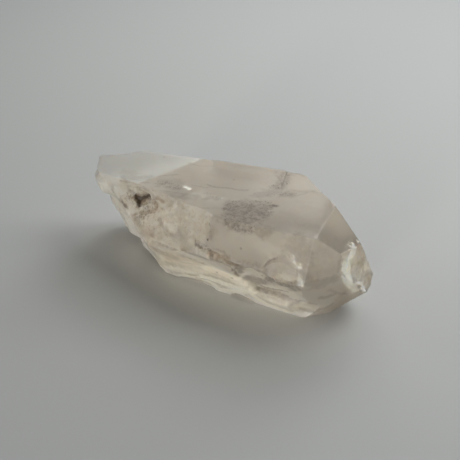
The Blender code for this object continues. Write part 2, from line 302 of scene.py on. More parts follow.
        "arc_crumb_a": (1.2, 0.9, [(149, 199), (152, 201)]),
        "arc_crumb_b": (1.1, 0.9, [(154, 205), (155, 208)]),
        "arc_crumb_c": (1.2, 0.9, [(147, 212), (144, 213)]),
        "arc_crumb_d": (1, 0.9, [(136, 214), (133, 215)]),
        "lobe_top_warm": (8, 0.14, [(160, 246), (182, 256), (205, 266), (222, 274), (240, 284)]),
        "root_spot_a": (1.6, 0.5, [(128, 196), (131, 198)]),
        "root_spot_b": (1.4, 0.5, [(160, 208), (163, 210)]),
        "root_spot_c": (1.4, 0.45, [(142, 222), (146, 224)]),
        "root_spot_d": (1.6, 0.4, [(176, 216), (180, 219)]),
        "lobe_left_warm": (5, 0.3, [(150, 244), (158, 250), (168, 258)]),
    },
    "speck": {
        "specks_a": (7, 1, [(230, 205), (246, 203.5), (266, 204)]),
        "specks_b": (8, 1, [(230, 209), (246, 209), (264, 208)]),
        "specks_c": (8, 1, [(229, 215), (246, 215), (264, 214)]),
        "specks_d": (7, 1, [(230, 221), (246, 221.5), (255, 221)]),
        "specks_e": (5, 1, [(234, 227), (243, 228.5), (252, 227.5)]),
        "second_specks": (4, 1, [(271, 187), (279, 188), (285, 183)]),
        "second_specks_low": (4, 0.8, [(268, 194), (280, 194), (292, 195)]),
        "second_specks_top": (4, 0.6, [(286, 174), (280, 180)]),
        "root_specks": (7, 0.8, [(128, 197), (152, 206), (140, 216)]),
        "left_specks": (6, 0.8, [(162, 183), (178, 187)]),
        "crest_specks": (4, 0.6, [(206, 194), (214, 196), (222, 198)]),
        "scarp_specks": (4, 0.7, [(196, 243), (208, 250), (222, 258)]),
        "shell_specks": (6, 0.35, [(256, 276), (276, 284), (290, 284)]),
    },
    # Painted highlights: small white spots where facets would catch the light.
    "painted_glint": {
        "crest_glint": (1.7, 0.85, [(184.5, 186.5), (189.5, 189)]),
        "knob_glint": (1.3, 1, [(111.5, 193.5)]),
        "ledge_glint": (1, 1, [(158, 231)]),
        "wall_glint": (1, 0.9, [(192.5, 219)]),
        "band_glint": (0.9, 0.8, [(181, 223.5)]),
        "corner_glint": (0.9, 0.9, [(223, 198)]),
        "toe_glint": (1.2, 0.6, [(303, 303), (307, 304.5)]),
        "wisp_glint": (1.2, 0.6, [(299, 267.5), (301, 267.5)]),
        "tip_glint_a": (1.2, 1, [(353, 243.5), (353.5, 248)]),
        "tip_glint_b": (1.2, 1, [(355.5, 252)]),
        "tip_glint_c": (1.6, 1, [(349, 260), (354, 257)]),
        "tip_glint_d": (1, 0.9, [(356, 263)]),
        "tip_glint_e": (1.2, 0.9, [(350, 272)]),
        "tip_glint_f": (1.6, 1, [(363, 287), (364.5, 291)]),
        "tip_glint_g": (0.9, 0.9, [(359.5, 279)]),
        "tip_glint_h": (0.9, 0.8, [(358, 241.5)]),
        "root_glint_a": (0.8, 0.8, [(150, 184)]),
        "root_glint_b": (0.8, 0.8, [(166, 212)]),
        "root_glint_c": (0.8, 0.7, [(174, 200)]),
        "tip_glint_i": (1.3, 1, [(351, 256), (352, 259)]),
        "tip_glint_j": (1.2, 1, [(347, 266), (349, 269)]),
        "tip_glint_k": (1, 1, [(345, 272)]),
        "root_glint_d": (0.8, 0.9, [(176, 206)]),
        "root_glint_e": (0.7, 0.9, [(196, 214)]),
        "root_glint_f": (0.7, 0.8, [(142, 232)]),
        "tip_glint_l": (0.9, 1, [(348, 264), (349, 266)]),
        "tip_glint_m": (0.9, 1, [(354, 284), (356, 285)]),
        "tip_glint_n": (1, 1, [(352, 252), (353, 254)]),
        "tip_glint_o": (0.9, 0.9, [(362, 270), (362.5, 273)]),
        "wisp_glint_b": (0.9, 0.9, [(294, 262), (295.5, 264)]),
        "wisp_glint_c": (1, 0.9, [(301, 282), (302.5, 285)]),
        "root_glint_g": (0.8, 0.9, [(106, 186), (107, 188)]),
        "root_glint_h": (0.8, 0.8, [(128, 213), (129, 214)]),
        "root_glint_i": (0.7, 0.9, [(163, 212.5)]),
        "root_glint_j": (0.7, 0.8, [(187, 224)]),
    },
    # Painted sparkles: clusters of small white spots on the tip, the wisps and the breaks.
    "painted_sparkle": {
        "wisp_painted_sparkles": (3.4, 1, [(291, 256), (298, 265), (298, 274), (300, 283)]),
        "tip_painted_sparkles": (5, 1, [(353, 246), (352, 256), (347, 263), (347, 272), (351, 278)]),
        "tip_painted_sparkles_low": (4, 1, [(358, 280), (364, 286)]),
        "tip_painted_sparkles_rim": (2.5, 0.7, [(366, 276), (366, 264)]),
        "crest_painted_sparkles": (2.2, 0.4, [(204, 195), (220, 198)]),
        "swirl_painted_sparkles": (3, 0.6, [(164, 222), (172, 230)]),
        "knob_painted_sparkles": (4, 0.5, [(106, 184), (114, 192)]),
    },
    "dense": {
        "lobe_body": (13, 0.95, [(150, 250), (176, 259), (204, 270), (230, 281), (248, 289)]),
        "lobe_body_low": (9, 0.9, [(158, 262), (176, 269), (200, 275), (222, 285)]),
        "low_rim_body": (5, 0.8, [(252, 292), (268, 302), (290, 309), (310, 312)]),
    },
}

# Marks that face away are (kind, half width, strength, path), in millimetres: (x, z) on the
# back, (x, y) below, and (y, z) on the tip and the root end.
FAR_MARKS = {
    "back": {
        "back_wisp_a": ("veil_and_sheen", 0.55, 0.75, [(-24, 17), (-13, 16), (-2, 17.5), (8, 17)]),
        "back_wisp_b": ("veil_and_sheen", 0.45, 0.6, [(0, 10), (10, 11), (22, 9.5)]),
        "back_wisp_c": ("veil_and_sheen", 0.4, 0.5, [(-26, 9), (-16, 10.5), (-8, 10)]),
        "back_veil": ("veil_and_sheen", 3.6, 0.6, [(-16, 8), (-7, 6)]),
        "back_veil_high": ("veil_and_sheen", 2.6, 0.45, [(-8, 21), (2, 22)]),
        "back_veil_tip": ("veil_and_sheen", 3, 0.55, [(22, 17), (28, 14)]),
        "back_root_veil": ("veil_and_sheen", 3.4, 0.5, [(-32, 13), (-29, 18)]),
        "back_feather": ("veil_and_sheen", 1.6, 0.7, [(12, 6), (15, 8), (18, 7)]),
        "back_line_a": ("smoke_and_shade", 0.24, 0.5, [(-22, 14), (-6, 14.6), (9, 14)]),
        "back_line_b": ("smoke_and_shade", 0.2, 0.4, [(-4, 20.2), (8, 20.6), (20, 20)]),
        "back_line_c": ("smoke_and_shade", 0.2, 0.45, [(-28, 6.8), (-12, 6.2)]),
        "back_line_d": ("smoke_and_shade", 0.2, 0.4, [(4, 4.6), (16, 5), (24, 4.4)]),
        "back_cloud": ("smoke_and_shade", 2, 0.5, [(6, 18), (11, 18.6)]),
        "back_cloud_low": ("smoke_and_shade", 1.5, 0.45, [(-5, 6), (1, 5.2)]),
        "back_dot_a": ("smoke_and_shade", 0.28, 1, [(3, 16)]),
        "back_dot_b": ("smoke_and_shade", 0.24, 0.9, [(14, 12.4)]),
        "back_dot_c": ("smoke_and_shade", 0.3, 0.8, [(-14, 12)]),
        "back_dot_d": ("smoke_and_shade", 0.24, 0.9, [(-20, 19)]),
        "back_chip": ("veil_and_sheen", 0.5, 0.5, [(16.5, 13.4), (17.5, 13.5)]),
        "back_chip_long": ("veil_and_sheen", 0.45, 0.5, [(-9, 13.6), (-7, 13.5)]),
        "back_specks": ("speck", 2.2, 1, [(5, 18), (12, 18.8)]),
        "back_specks_low": ("speck", 1.7, 0.8, [(-6, 6), (1, 5.4)]),
        "back_specks_root": ("speck", 2, 0.6, [(-30, 14), (-28, 10)]),
        "back_rust": ("rust", 1, 0.5, [(-28, 9), (-26, 7.5)]),
        "back_rust_line": ("rust", 0.35, 0.55, [(-30, 15), (-28.5, 13), (-28, 11)]),
        # Painted highlights.
        "back_glint_a": ("painted_glint", 0.3, 1, [(16.6, 13.5)]),
        "back_glint_b": ("painted_glint", 0.25, 0.9, [(-8, 13.6)]),
        # Painted sparkles.
        "back_painted_sparkles": ("painted_sparkle", 1.2, 0.9, [(12, 6.5), (15, 8)]),
    },
    "under": {
        "under_veil": ("veil_and_sheen", 4, 0.6, [(-8, -2), (2, 0)]),
        "under_wisp_a": ("veil_and_sheen", 0.5, 0.7, [(-18, 2), (-6, 3), (6, 2)]),
        "under_wisp_b": ("veil_and_sheen", 0.45, 0.6, [(8, -6), (18, -5), (26, -6)]),
        "under_veil_tip": ("veil_and_sheen", 2.6, 0.55, [(26, 2), (31, 0)]),
        "under_line_a": ("smoke_and_shade", 0.24, 0.5, [(-20, -4), (-6, -3.4), (10, -3.8)]),
        "under_line_b": ("smoke_and_shade", 0.2, 0.45, [(2, 6), (16, 6.4), (24, 6)]),
        "under_cloud": ("smoke_and_shade", 2.2, 0.5, [(10, 2), (16, 3)]),
        "under_dot_a": ("smoke_and_shade", 0.3, 1, [(-4, 6)]),
        "under_dot_b": ("smoke_and_shade", 0.26, 0.9, [(14, -2)]),
        "under_dot_c": ("smoke_and_shade", 0.3, 0.8, [(-16, -1)]),
        "under_specks": ("speck", 2.2, 0.9, [(9, 2), (17, 3)]),
        "under_specks_root": ("speck", 1.8, 0.6, [(-20, 4), (-16, 6)]),
        "under_rust": ("rust", 1.3, 0.45, [(-22, 0), (-19, -2)]),
        # Painted sparkles.
        "under_painted_sparkles": ("painted_sparkle", 1.2, 0.9, [(-6, -2), (0, -1)]),
    },
    "tip": {
        "end_veil": ("veil_and_sheen", 1.7, 0.6, [(6, 14), (9, 11)]),
        "end_wisp": ("veil_and_sheen", 0.4, 0.6, [(0, 7), (6, 6)]),
        "end_line": ("smoke_and_shade", 0.2, 0.4, [(2, 17), (8, 15)]),
        "end_cloud": ("smoke_and_shade", 1.2, 0.4, [(8, 17), (10, 14)]),
        "end_specks": ("speck", 1.4, 0.7, [(8, 17), (10, 14)]),
        "end_dot": ("smoke_and_shade", 0.26, 0.9, [(5, 10)]),
        "end_rust": ("rust", 0.7, 0.4, [(-1, 9), (0, 7)]),
    },
    "root": {
        "stub_milk": ("veil_and_sheen", 2.4, 0.5, [(4, 16), (8, 18)]),
        "stub_shade": ("smoke_and_shade", 0.9, 0.5, [(0, 10), (3, 8.5)]),
        "stub_crease": ("smoke_and_shade", 0.4, 0.6, [(6, 8), (9, 11), (10, 14)]),
        "stub_rust": ("rust", 1.1, 0.5, [(2, 12), (4, 10)]),
        "stub_specks": ("speck", 1.6, 0.6, [(5, 12), (8, 10)]),
        # Painted highlight.
        "stub_glint": ("painted_glint", 0.25, 0.9, [(7, 15)]),
    },
}

# Marks that are also worn into the surface, with how deep, in millimetres.
CUTS = {
    "growth_line_a": 0.035,
    "growth_line_b": 0.025,
    "growth_line_c": 0.030,
    "growth_line_d": 0.025,
    "growth_line_e": 0.020,
    "growth_line_f": 0.015,
    "growth_line_g": 0.025,
    "scarp": 0.45,
    "scarp_foot": 0.3,
    "shell_rim": 0.04,
    "shell_side": 0.05,
    "tip_crack": 0.08,
    "lobe_line": 0.12,
    "shell_ring_a": 0.05,
    "shell_ring_b": 0.04,
    "lobe_line_low": 0.06,
    "cavity_dark": 0.9,
    "cavity_root": 0.5,
    "pit_dark": 0.4,
    "back_line_a": 0.03,
    "back_line_b": 0.02,
    "back_line_c": 0.03,
    "back_line_d": 0.02,
    "back_chip": 0.3,
    "back_chip_long": 0.25,
    "under_line_b": 0.02,
}

# Places where the break stands out or falls back further, as (reach, shift, path).
SWELLS = {
    "root_knob": (3.2, (-1.25, -0.85, -0.35),
                  [(-36.0, 1.3, 17.6), (-33.8, -0.8, 17.7), (-32.0, -2.6, 17.9)]),
    "root_hollow": (4.6, (1.65, 0.75, 0.0),
                    [(-28.3, -4.0, 13.6), (-27.2, -4.0, 11.5), (-27.0, -2.8, 8.9),
                     (-26.1, -2.8, 7.0), (-25.4, -2.5, 5.0)]),
}

# Calm skins that are also worn smooth.
WORN = ("lobe_skin", "lobe_skin_low")

# Longest edge of the fine surface, in millimetres.
EDGE_PLAIN = 1.2
EDGE_BROKEN = 0.5
EDGE_MARKED = 0.55
EDGE_FINE_MARK = 0.32
EDGE_TIP = 0.36
EDGE_CORNER = 0.45
FINE_MARK = 0.6
TIP_START = 34.0

# Longest and shortest edges as the carved surface is evened out, in millimetres.
EVENING = ((8.0, 0.3), (4.0, 0.4), (2.0, 0.5), (1.2, 0.45))
FLAT_ANGLE = 0.25
LEVEL_ANGLE = 0.003
CLOSING_ROUNDS = 8
SPLITTING_ROUNDS = 3

# A point lies on a flat within ON_FLAT of it, and on a break beyond OFF_FLAT, in full from
# FULL_BREAK. Worn corners and the bevel's painted sheen lie within NEAR_FLAT. All are in
# millimetres.
ON_FLAT = 0.02
OFF_FLAT = 0.03
FULL_BREAK = 0.12
NEAR_FLAT = 0.05

# Relief of the breaks, in millimetres.
SHELL_SIZE = 2.4
SHELL_DEPTH = 0.32
SMALL_SHELL_SIZE = SHELL_SIZE * 0.5
SMALL_SHELL_DEPTH = SHELL_DEPTH * 0.35
GRAIN_SIZE = 3.0
GRAIN_DEPTH = 0.12
BORDER_REACH = 0.7
BORDER_RELIEF = 0.25
CALMING = 0.9

# Wear of the corners between growth faces, and how far fine edges and rounding reach from
# them, in millimetres.
WEAR_REACH = 0.5
WEAR_DEPTH = 0.05
CORNER_REACH = 0.45
ROUND_REACH = 0.4
ROUND_NEAR = 0.1

# Rounding is (share drawn towards the neighbours, times). Corners have ROUND_RELIEF's times.
ROUND_BREAKS = (0.5, 3)
ROUND_CALM = (0.6, 16)
ROUND_WORN = (0.8, 70)
ROUND_CORNERS = 0.2
ROUND_RELIEF = (0.3, 2)
SPREAD_BREAKS = (0.6, 24)
UNFOLDING = (0.7, 8)
FOLDED = 0.55
SHARP_ANGLE = math.radians(24.0)

# How far a mark is whole and how far it fades, in half widths, and how far its finer edges
# reach beyond that, in millimetres.
MARK_CORE = 0.45
MARK_FADE = 1.45
MARK_REACH = 3.0
CUT_REACH = 2.5
FINE_REACH = 1.6
FINE_MARGIN = 0.15

# Seeds of the shells, of the grain, of the wear and of the ragged borders of the marks.
SHELL_SEED = 3.0
SMALL_SHELL_SEED = 8.0
GRAIN_SEED = 5.0
WEAR_SEED = 11.0
CUT_SEED = 17.0
CALM_SEED = 20
MARK_SEED = 21

# Colours of the crystal, of what has grown into it, and of its painted sheen, glow, shade and
# highlights.
CLEAR_WARM = (0.93, 0.86, 0.76, 1.0)
CLEAR_COOL = (0.91, 0.86, 0.79, 1.0)
STREAK = (0.80, 0.74, 0.66, 1.0)
PATCH_OCHRE = (0.88, 0.81, 0.60, 1.0)
PATCH_ROSE = (0.90, 0.77, 0.68, 1.0)
CRUMB = (0.55, 0.42, 0.26, 1.0)
MILK = (0.97, 0.93, 0.86, 1.0)
# Painted cool sheen on the root bevel.
SHEEN_PAINT = (0.90, 0.955, 0.93, 1.0)
BUFF = (0.57, 0.52, 0.42, 1.0)
# Colour of the painted glow.
GLOW_PAINT = (1.0, 0.93, 0.81, 1.0)
# Colour of the painted highlights and sparkles.
HIGHLIGHT_PAINT = (1.0, 0.96, 0.88, 1.0)
RUST = (0.42, 0.29, 0.17, 1.0)
# Dark glass, and painted shade.
SMOKE_AND_SHADE = (0.17, 0.125, 0.09, 1.0)
GRAINS = (0.15, 0.11, 0.08, 1.0)
# Dark dots, and painted shade in the cavity and the pit.
DARKEST_TINT = (0.07, 0.05, 0.032, 1.0)

# Tints laid over the clear and milky glass in turn, as (what is tinted, share, colour). The sheen,
# glow and highlight tints are painted light, and the dark tints are partly painted shade.
TINTS = (
    ("painted_sheen", 1.0, SHEEN_PAINT),
    ("dense", 1.0, BUFF),
    ("painted_glow_share", 1.0, GLOW_PAINT),
    ("rusty", 1.0, RUST),
    ("smoky_and_shaded", 0.85, SMOKE_AND_SHADE),
    ("darkest", 0.8, DARKEST_TINT),
    ("grains", 0.75, GRAINS),
    ("painted_highlight", 1.0, HIGHLIGHT_PAINT),
)

# How much of the light each of these keeps from passing through.
CLOUDING = {
    "milk": 0.55,
    "painted_sheen": 0.6,
    "smoky_and_shaded": 0.3,
    "rusty": 0.4,
    "darkest": 0.8,
    "dense": 0.9,
    "painted_glow_share": 0.95,
}
CLEAREST = 0.93

# Clouds are (turns in each millimetre, detail, roughness, distortion). Streaks are clouds
# drawn out along the crystal.
CLOUDS = {
    "haze": (0.11, 3.0, 0.55, 0.6),
    "fleck": (1.15, 2.0, 0.6, 0.0),
    "sand": (2.4, 2.0, 0.6, 0.0),
    "grit": (1.6, 2.0, 0.5, 0.0),
}
STREAKS = {
    "wisps": (0.55, 4.0, 0.62, 1.4),
    "lines": (1.9, 2.0, 0.5, 0.2),
}
STREAK_TURN = (0.0, 0.05, 0.06)
STREAK_SCALE = 0.16
PATCH_SCALE = 0.55
PATCH_BEND = 1.5
BEND_SCALE = 0.45
DOT_SCALE = 1.3

# The glass itself. Density is for each metre.
QUARTZ_IOR = 1.544
ABSORPTION = (0.90, 0.80, 0.66, 1.0)
ABSORPTION_DENSITY = 14.0
SCATTER_RADIUS = (1.0, 0.9, 0.75)
SCATTER_SCALE = 0.012
GRIT_HEIGHT = 0.05
SCORE_HEIGHT = 0.03

# The floor, just clear of the face that the crystal rests on, and the light of the room.
FLOOR_SIZE = 1.5
FLOOR_GAP = 0.00002
FLOOR_COLOUR = (0.60, 0.615, 0.615, 1.0)
FLOOR_ROUGHNESS = 0.75
SKY_COLOUR = (0.80, 0.88, 0.90, 1.0)
SKY_STRENGTH = 0.08

# Lamps are (place, aim, size, power, colour), in metres and watts.
LAMPS = {
    "window": ((0.14, 0.12, 0.24), (0.0, 0.01, 0.0), 0.20, 0.29, (1.0, 0.98, 0.95)),
    "window_left": ((-0.10, 0.20, 0.24), (0.0, 0.01, 0.0), 0.20, 0.18, (1.0, 0.97, 0.93)),
    "window_far": ((0.05, 0.45, 0.30), (0.0, 0.01, 0.0), 0.30, 0.77, (0.95, 0.98, 1.0)),
    "room_front": ((-0.05, -1.1, 0.11), (0.0, 0.0, 0.01), 0.20, 5.6, (1.0, 0.96, 0.88)),
    "room_right": ((1.1, 0.5, 0.26), (0.0, 0.0, 0.01), 0.40, 2.2, (1.0, 0.97, 0.92)),
    "room_left": ((-1.1, -0.1, 0.21), (0.0, 0.0, 0.01), 0.30, 1.3, (1.0, 0.98, 0.94)),
}


def sight():
    """The camera's place, its right, up and back directions, and its focal length in pixels."""
    sin_a, cos_a = math.sin(AZIMUTH), math.cos(AZIMUTH)
    sin_e, cos_e = math.sin(ELEVATION), math.cos(ELEVATION)
    back = Vector((sin_a * cos_e, -cos_a * cos_e, sin_e))
    right = Vector((cos_a, sin_a, 0.0))
    up = back.cross(right)
    focal = VIEW_PIXELS / 2 / math.tan(FIELD / 2)
    eye = AIM + back * DISTANCE
    eye -= right * ((AIM_PIXEL[0] - VIEW_PIXELS / 2) / focal * DISTANCE)
    eye -= up * ((VIEW_PIXELS / 2 - AIM_PIXEL[1]) / focal * DISTANCE)
    return eye, right, up, back, focal


def seen_at(tree, pixel):
    """Where the camera sees the body at a pixel, or just inside its outline, and how far off."""
    eye, right, up, back, focal = sight()
    for reach in range(OUTLINE_REACH + 1):
        for turn in range(OUTLINE_TURNS if reach else 1):
            angle = turn * 2 * math.pi / OUTLINE_TURNS
            across = pixel[0] + reach * math.cos(angle) - VIEW_PIXELS / 2
            down = pixel[1] + reach * math.sin(angle) - VIEW_PIXELS / 2
            line = (right * across - up * down) / focal - back
            place, _, _, away = tree.ray_cast(eye, line.normalized())
            if place:
                return place, away
    raise ValueError(f"the body isn't seen at {pixel}")


def met_from(tree, side, u, v):
    """Where a straight line from one side, at (u, v) in millimetres, meets the body."""
    start, toward = {
        "back": ((u, OUTSIDE, v), (0, -1, 0)),
        "under": ((u, v, -OUTSIDE), (0, 0, 1)),
        "tip": ((OUTSIDE, u, v), (-1, 0, 0)),
        "root": ((-OUTSIDE, u, v), (1, 0, 0)),
    }[side]
    return tree.ray_cast(Vector(start) * MM, Vector(toward))[0]


def placed_marks(node):
    """All marks by kind, as (half width, strength, path) in millimetres on the body."""
    mesh = node.data
    tree = BVHTree.FromPolygons([v.co for v in mesh.vertices], [p.vertices for p in mesh.polygons])
    focal = sight()[-1]
    marks = {}
    for kind, seen in SEEN_MARKS.items():
        marks[kind] = {}
        for name, (half_width, strength, path) in seen.items():
            places, distances = zip(*(seen_at(tree, pixel) for pixel in path))
            wide = half_width * np.mean(distances) / focal / MM
            marks[kind][name] = (wide, strength, [tuple(place / MM) for place in places])
    for side, far in FAR_MARKS.items():
        for name, (kind, half_width, strength, path) in far.items():
            places = [tuple(met_from(tree, side, u, v) / MM) for u, v in path]
            marks[kind][name] = (half_width, strength, places)
    return marks


def face_direction(roll, lean):
    """Outward direction of a growth face."""
    around, along = math.radians(roll), math.radians(lean)
    return np.array((
        math.sin(along),
        -math.cos(around) * math.cos(along),
        math.sin(around) * math.cos(along),
    ))


def flat_planes():
    """Outward directions and distances of every flat, in millimetres on the finished body."""
    names, directions, reaches = [], [], []
    axis = MOVED + (0.0, 0.0, AXIS_HEIGHT)
    for name, (roll, lean, distance) in GROWTH_FACES.items():
        direction = face_direction(roll, lean)
        names.append(name)
        directions.append(direction)
        reaches.append(direction @ axis + distance)
    for name, (point, facing) in FLATS.items():
        direction = np.array(facing) / np.linalg.norm(facing)
        names.append(name)
        directions.append(direction)
        reaches.append(direction @ (MOVED + point))
    return names, np.array(directions), np.array(reaches)


def smooth_step(low, high, value):
    """0 below low, 1 above high, and an easy rise between."""
    t = np.clip((value - low) / (high - low), 0.0, 1.0)
    return t * t * (3.0 - 2.0 * t)


def path_distance(points, path):
    """Distance from each point to a path, in millimetres."""
    path = np.array(path)
    nearest = np.linalg.norm(points - path[0], axis=1)
    for start, end in zip(path, path[1:]):
        run = end - start
        along = np.clip((points - start) @ run / max(run @ run, 1e-9), 0.0, 1.0)
        away = np.linalg.norm(points - start - along[:, None] * run, axis=1)
        nearest = np.minimum(nearest, away)
    return nearest


def off_flats(points, planes):
    """How far each point lies from its nearest flat, and from its second growth face."""
    _, directions, reaches = planes
    gaps = np.abs(points @ directions.T - reaches)
    grown = np.partition(gaps[:, :len(GROWTH_FACES)], 1, axis=1)
    return gaps.min(axis=1), grown[:, 1]


def beside(points, path, reach):
    """Which points lie within reach of a path, and how far off they are."""
    path = np.array(path)
    inside = (points > path.min(axis=0) - reach) & (points < path.max(axis=0) + reach)
    chosen = np.flatnonzero(inside.all(axis=1))
    away = path_distance(points[chosen], path)
    return chosen[away < reach], away[away < reach]


def edge_limit(points, planes, marks):
    """The longest edge allowed at each point."""
    near, second = off_flats(points, planes)
    limit = np.full(len(points), EDGE_PLAIN)
    limit[near > OFF_FLAT] = EDGE_BROKEN
    limit[(near < NEAR_FLAT) & (second < CORNER_REACH)] = EDGE_CORNER
    limit[(near > OFF_FLAT) & (points[:, 0] > TIP_START)] = EDGE_TIP
    for kind in marks.values():
        for half_width, _, path in kind.values():
            wanted = EDGE_FINE_MARK if half_width < FINE_MARK else EDGE_MARKED
            chosen, _ = beside(points, path, half_width * FINE_REACH + FINE_MARGIN)
            limit[chosen] = np.minimum(limit[chosen], wanted)
    return limit


def triangle_edges(triangles):
    """Each edge once, as two ends, and the three edges of each triangle."""
    sides = np.stack((triangles, np.roll(triangles, -1, axis=1)), axis=2)
    sides = np.sort(sides.reshape(-1, 2), axis=1)
    ends, which = np.unique(sides, axis=0, return_inverse=True)
    return ends, which.reshape(-1, 3)


def split_once(places, triangles, limit):
    """Halve every edge that is longer than the limit at its middle."""
    ends, which = triangle_edges(triangles)
    run = places[ends[:, 1]] - places[ends[:, 0]]
    middles = places[ends[:, 0]] + run / 2.0
    cut = np.linalg.norm(run, axis=1) > limit(middles)
    number = np.full(len(ends), -1)
    number[cut] = len(places) + np.arange(cut.sum())
    places = np.vstack((places, middles[cut]))
    halves = number[which]
    made = [triangles[(halves < 0).all(axis=1)]]
    for turn in range(3):
        corner, half = np.roll(triangles, -turn, axis=1), np.roll(halves, -turn, axis=1)
        one = (half[:, 0] >= 0) & (half[:, 1] < 0) & (half[:, 2] < 0)
        (a, b, c), m = corner[one].T, half[one, 0]
        made += [np.stack((a, m, c), axis=1), np.stack((m, b, c), axis=1)]
        two = (half[:, 0] >= 0) & (half[:, 1] >= 0) & (half[:, 2] < 0)
        (a, b, c), (m, n) = corner[two].T, half[two, :2].T
        across = np.linalg.norm(places[a] - places[n], axis=1)
        short = across < np.linalg.norm(places[m] - places[c], axis=1)
        made.append(np.stack((m, b, n), axis=1))
        made.append(np.stack((a, m, np.where(short, n, c)), axis=1))
        made.append(np.stack((np.where(short, a, m), n, c), axis=1))
    whole = (halves >= 0).all(axis=1)
    (a, b, c), (m, n, o) = triangles[whole].T, halves[whole].T
    for trio in ((a, m, o), (m, b, n), (o, n, c), (m, n, o)):
        made.append(np.stack(trio, axis=1))
    return places, np.vstack(made)


def neighbour_mean(places, ends):
    """Mean of the neighbours of each point, column by column."""
    count = np.bincount(ends.ravel(), minlength=len(places))
    total = [
        np.bincount(ends[:, 0], places[ends[:, 1], k], len(places))
        + np.bincount(ends[:, 1], places[ends[:, 0], k], len(places))
        for k in range(places.shape[1])
    ]
    return np.stack(total, axis=1) / count[:, None]


def soften(places, ends, share, times):
    """Draw each point towards its neighbours by its own share."""
    for _ in range(times):
        places = places + (neighbour_mean(places, ends) - places) * share[:, None]
    return places


def outward(places, triangles):
    """Outward direction at each point."""
    a, b, c = places[triangles.T]
    facing = np.cross(b - a, c - a)
    total = np.stack([
        sum(np.bincount(triangles[:, j], facing[:, k], len(places)) for j in range(3))
        for k in range(3)
    ], axis=1)
    return total / np.maximum(np.linalg.norm(total, axis=1), 1e-12)[:, None]


def unfold(places, triangles, ends):
    """Smooth the surface where a triangle faces away from its surroundings."""
    share, times = UNFOLDING
    for _ in range(times):
        normals = outward(places, triangles)
        a, b, c = places[triangles.T]
        facing = np.cross(b - a, c - a)
        facing /= np.maximum(np.linalg.norm(facing, axis=1), 1e-12)[:, None]
        agree = np.einsum("ik,ijk->ij", facing, normals[triangles]).min(axis=1)
        folded = np.zeros(len(places))
        folded[triangles[agree < FOLDED].ravel()] = share
        places = soften(places, ends, folded, 1)
    return places


def shells(points, size, depth, seed):
    """Shallow shell-shaped hollows that meet in sharp ridges."""
    shift = Vector((seed, seed * 1.7, seed * 2.3))
    hollow = np.empty(len(points))
    for k, point in enumerate(points):
        away = noise.voronoi(Vector(point) / size + shift)[0][0]
        hollow[k] = min(1.0, away * away * 1.3)
    return (hollow - 1.0) * depth


def grain(points, size, depth, octaves, seed):
    """Uneven grain, as deep either way."""
    shift = Vector((seed, seed * 1.3, seed * 2.9))
    return depth * np.array([
        noise.fractal(Vector(point) / size + shift, 0.9, 2.0, octaves) for point in points
    ])


def mark_weights(points, kind, seed):
    """Strength of one kind of mark at each point, with ragged borders."""
    weight = np.zeros(len(points))
    for half_width, strength, path in kind.values():
        chosen, away = beside(points, path, half_width * MARK_REACH)
        ragged = np.clip(1.0 + grain(points[chosen], 1.3, 0.55, 3, seed), 0.5, 1.6)
        whole, faded = half_width * MARK_CORE, half_width * MARK_FADE
        here = 1.0 - smooth_step(whole, faded, away * ragged)
        weight[chosen] = np.maximum(weight[chosen], strength * here)
    return weight


def roughen(places, normals, near, broken, calm):
    """Give the breaks shells and grain, lower by their borders and on their calm skins."""
    rough = np.flatnonzero(broken > 0.01)
    relief = smooth_step(0.0, BORDER_REACH, near[rough]) * (1.0 - BORDER_RELIEF) + BORDER_RELIEF
    push = shells(places[rough], SHELL_SIZE, SHELL_DEPTH, SHELL_SEED)
    push += shells(places[rough], SMALL_SHELL_SIZE, SMALL_SHELL_DEPTH, SMALL_SHELL_SEED)
    push += grain(places[rough], GRAIN_SIZE, GRAIN_DEPTH, 2, GRAIN_SEED)
    relief *= 1.0 - CALMING * calm[rough]
    places[rough] += normals[rough] * (push * relief)[:, None]


def wear_corners(places, normals, near, second):
    """Wear the corners between the growth faces, unevenly."""
    corner = np.flatnonzero((near < NEAR_FLAT) & (second < WEAR_REACH))
    wear = (1.0 - smooth_step(0.0, WEAR_REACH, second[corner])) * WEAR_DEPTH
    wear *= 0.6 + np.clip(grain(places[corner], 2.2, 1.2, 3, WEAR_SEED), -0.5, 1.2)
    places[corner] -= normals[corner] * wear[:, None]


def swell(places, broken):
    """Shift the breaks out or in at the swells."""
    for reach, shift, path in SWELLS.values():
        chosen, away = beside(places, path, reach)
        full = (1.0 - smooth_step(reach * 0.3, reach, away)) * broken[chosen]
        places[chosen] += full[:, None] * np.array(shift)


def cut_marks(places, normals, marks):
    """Wear the cut marks into the surface."""
    for name, depth in CUTS.items():
        half_width, _, path = next(kind[name] for kind in marks.values() if name in kind)
        chosen, away = beside(places, path, half_width * CUT_REACH)
        ragged = 1.0 + grain(places[chosen], 0.9, 0.6, 2, CUT_SEED)
        fall = np.exp(-((away / half_width) ** 2)) * depth * ragged
        places[chosen] -= normals[chosen] * fall[:, None]


